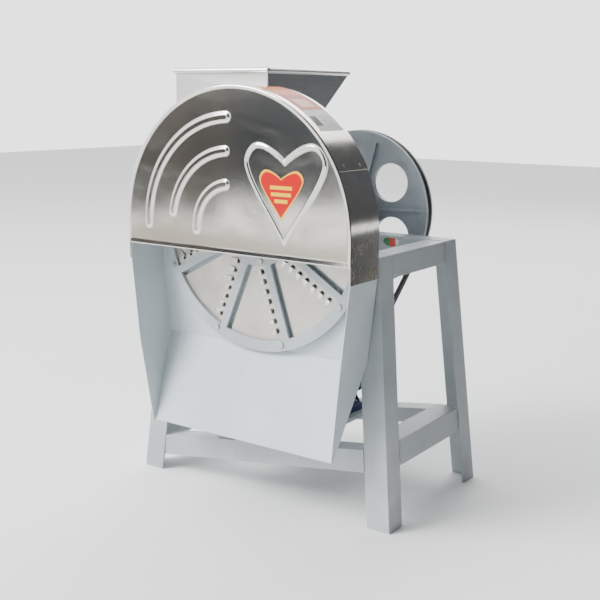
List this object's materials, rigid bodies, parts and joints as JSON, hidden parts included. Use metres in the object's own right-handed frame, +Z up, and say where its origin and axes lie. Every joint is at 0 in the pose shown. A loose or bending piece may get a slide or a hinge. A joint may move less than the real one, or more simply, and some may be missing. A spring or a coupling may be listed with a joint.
{
  "type": "belt-driven disc shredder",
  "caption": "Belt-driven disc shredder for roots and vegetables: feed hopper, grater disc under a polished arched cover, sloping chute and motor on an angle-iron stand.",
  "frame": {"origin": "on the floor, in the middle of the machine's plan box", "axes": "+Z up; -Y is the front, towards which the cover, the disc and the chute face; +X is on the right as the operator faces the front"},
  "size_m": [0.5616, 0.448, 0.7747],
  "materials": {
    "frame_paint": "satin grey-blue enamel",
    "mirror_steel": "polished stainless sheet",
    "sheet_steel": "plain stainless sheet",
    "disc_paint": "light grey enamel on the cast disc",
    "grater_steel": "punched stainless plate",
    "pulley_paint": "grey-painted cast iron",
    "bearing_paint": "painted cast iron",
    "bearing_steel": "ground bearing steel",
    "shaft_steel": "turned steel bar",
    "zinc": "zinc-plated fasteners",
    "brass": "turned brass",
    "belt_rubber": "black wrapped belt",
    "motor_paint": "dark blue enamel",
    "motor_core": "laminated core and varnished windings",
    "fan_plastic": "black moulded fan",
    "can_plastic": "black capacitor can",
    "decal_red": "printed vinyl",
    "label_print": "printed vinyl",
    "sticker_print": "printed vinyl"
  },
  "bodies": {
    "root": {"leg_front_left": "frame_paint", "leg_front_right": "frame_paint", "leg_rear_left": "frame_paint", "leg_rear_right": "frame_paint", "top_rail_front": "frame_paint", "top_rail_rear": "frame_paint", "top_rail_left": "frame_paint", "top_rail_right": "frame_paint", "lower_rail_front": "frame_paint", "lower_rail_rear": "frame_paint", "lower_rail_left": "frame_paint", "lower_rail_right": "frame_paint", "back_plate": "frame_paint", "back_plate_packer": "frame_paint", "side_panel_left": "frame_paint", "side_panel_right": "frame_paint", "chute_panel": "frame_paint", "motor_base_plate": "frame_paint", "cover_face": "mirror_steel", "cover_band_upper": "mirror_steel", "cover_band_left": "mirror_steel", "cover_band_right": "mirror_steel", "hopper_front": "sheet_steel", "hopper_rear": "sheet_steel", "hopper_left": "sheet_steel", "hopper_right": "sheet_steel", "hopper_rim": "sheet_steel", "back_plate_bolts": "zinc", "cover_rivets": "zinc", "hopper_bolts": "zinc", "bearing_bolts": "zinc", "motor_bolts": "zinc", "heart_decal": "decal_red", "band_label": "label_print", "rail_sticker": "sticker_print", "bearing_housing_front": "bearing_paint", "bearing_housing_rear": "bearing_paint", "bearing_outer_rings": "bearing_steel", "grease_nipples": "brass", "v_belt": "belt_rubber", "motor_housing": "motor_paint", "motor_end_bell_drive": "motor_paint", "motor_end_bell_fan": "motor_paint", "motor_fan_cover": "motor_paint", "motor_terminal_box": "motor_paint", "motor_stator": "motor_core", "motor_capacitor": "can_plastic"},
    "main_shaft_set": {"main_shaft": "shaft_steel", "cutting_disc": "disc_paint", "grater_plates": "grater_steel", "plate_screws": "zinc", "disc_nut": "zinc", "bearing_inner_rings": "bearing_steel", "bearing_balls": "bearing_steel", "big_pulley": "pulley_paint", "pulley_key": "shaft_steel"},
    "motor_rotor": {"motor_shaft": "shaft_steel", "motor_pulley": "pulley_paint", "motor_key": "shaft_steel", "motor_fan": "fan_plastic"}
  },
  "joints": [
    {"name": "main_shaft_spin", "type": "hinge", "parent": "root", "child": "main_shaft_set", "pos_m": [0, 0, 0.5037], "axis": [0, 1, 0], "continuous": true},
    {"name": "motor_shaft_spin", "type": "hinge", "parent": "root", "child": "motor_rotor", "pos_m": [-0.01854, 0, 0.20082], "axis": [0, 1, 0], "continuous": true}
  ],
  "couplings": [
    {"joint": "motor_shaft_spin", "follows": "main_shaft_spin", "ratio": 4.0039}
  ]
}
